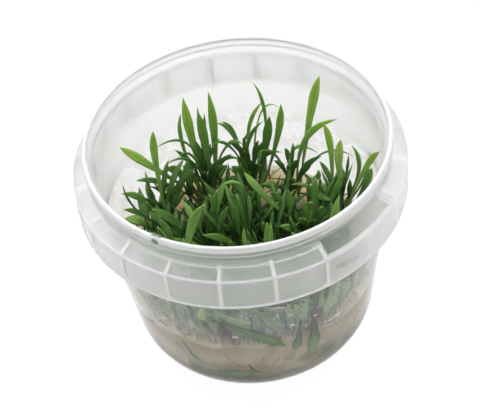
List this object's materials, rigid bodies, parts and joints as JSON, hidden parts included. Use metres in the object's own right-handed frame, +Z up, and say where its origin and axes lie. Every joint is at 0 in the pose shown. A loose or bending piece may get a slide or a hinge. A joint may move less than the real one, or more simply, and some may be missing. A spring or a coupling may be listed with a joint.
{
  "type": "potted cryptocoryne willisii",
  "caption": "Young narrow-leaved water plants standing in pale agar gel, in a clear round plastic culture cup with a ribbed collar, open at the top.",
  "frame": {"origin": "centre of the cup's flat underside, on the surface it stands on", "axes": "+Z up through the open mouth of the cup; -Y is the front, from which the picture was taken; +X is to the right in the picture"},
  "size_m": [0.101, 0.101, 0.0787],
  "materials": {
    "clear_cup": "clear, slightly milky moulded polypropylene",
    "agar_gel": "cloudy pale beige gel with a wet surface",
    "crown": "pale green plant tissue",
    "leaf": "smooth satin leaf, dark green",
    "bright_leaf": "smooth satin leaf, fresh green"
  },
  "bodies": {
    "root": {"cup": "clear_cup", "agar-gel": "agar_gel", "plantlet-1-crown": "crown", "plantlet-1-leaf-1": "bright_leaf", "plantlet-1-leaf-2": "leaf", "plantlet-1-leaf-3": "leaf", "plantlet-1-leaf-4": "bright_leaf", "plantlet-1-leaf-5": "leaf", "plantlet-1-leaf-6": "leaf", "plantlet-1-leaf-7": "bright_leaf", "plantlet-2-crown": "crown", "plantlet-2-leaf-1": "bright_leaf", "plantlet-2-leaf-2": "leaf", "plantlet-2-leaf-3": "leaf", "plantlet-2-leaf-4": "bright_leaf", "plantlet-2-leaf-5": "leaf", "plantlet-2-leaf-6": "leaf", "plantlet-3-crown": "crown", "plantlet-3-leaf-1": "bright_leaf", "plantlet-3-leaf-2": "leaf", "plantlet-3-leaf-3": "leaf", "plantlet-3-leaf-4": "bright_leaf", "plantlet-4-crown": "crown", "plantlet-4-leaf-1": "bright_leaf", "plantlet-4-leaf-2": "leaf", "plantlet-4-leaf-3": "leaf", "plantlet-4-leaf-4": "bright_leaf", "plantlet-4-leaf-5": "leaf", "plantlet-4-leaf-6": "leaf", "plantlet-5-crown": "crown", "plantlet-5-leaf-1": "bright_leaf", "plantlet-5-leaf-2": "leaf", "plantlet-5-leaf-3": "leaf", "plantlet-5-leaf-4": "bright_leaf", "plantlet-6-crown": "crown", "plantlet-6-leaf-1": "bright_leaf", "plantlet-6-leaf-2": "leaf", "plantlet-6-leaf-3": "leaf", "plantlet-6-leaf-4": "bright_leaf", "plantlet-7-crown": "crown", "plantlet-7-leaf-1": "bright_leaf", "plantlet-7-leaf-2": "leaf", "plantlet-7-leaf-3": "leaf", "plantlet-8-crown": "crown", "plantlet-8-leaf-1": "bright_leaf", "plantlet-8-leaf-2": "leaf", "plantlet-8-leaf-3": "leaf", "plantlet-8-leaf-4": "bright_leaf", "plantlet-9-crown": "crown", "plantlet-9-leaf-1": "bright_leaf", "plantlet-9-leaf-2": "leaf", "plantlet-9-leaf-3": "leaf", "plantlet-10-crown": "crown", "plantlet-10-leaf-1": "bright_leaf", "plantlet-10-leaf-2": "leaf", "plantlet-10-leaf-3": "leaf", "plantlet-11-crown": "crown", "plantlet-11-leaf-1": "bright_leaf", "plantlet-11-leaf-2": "leaf", "plantlet-11-leaf-3": "leaf"}
  },
  "joints": []
}
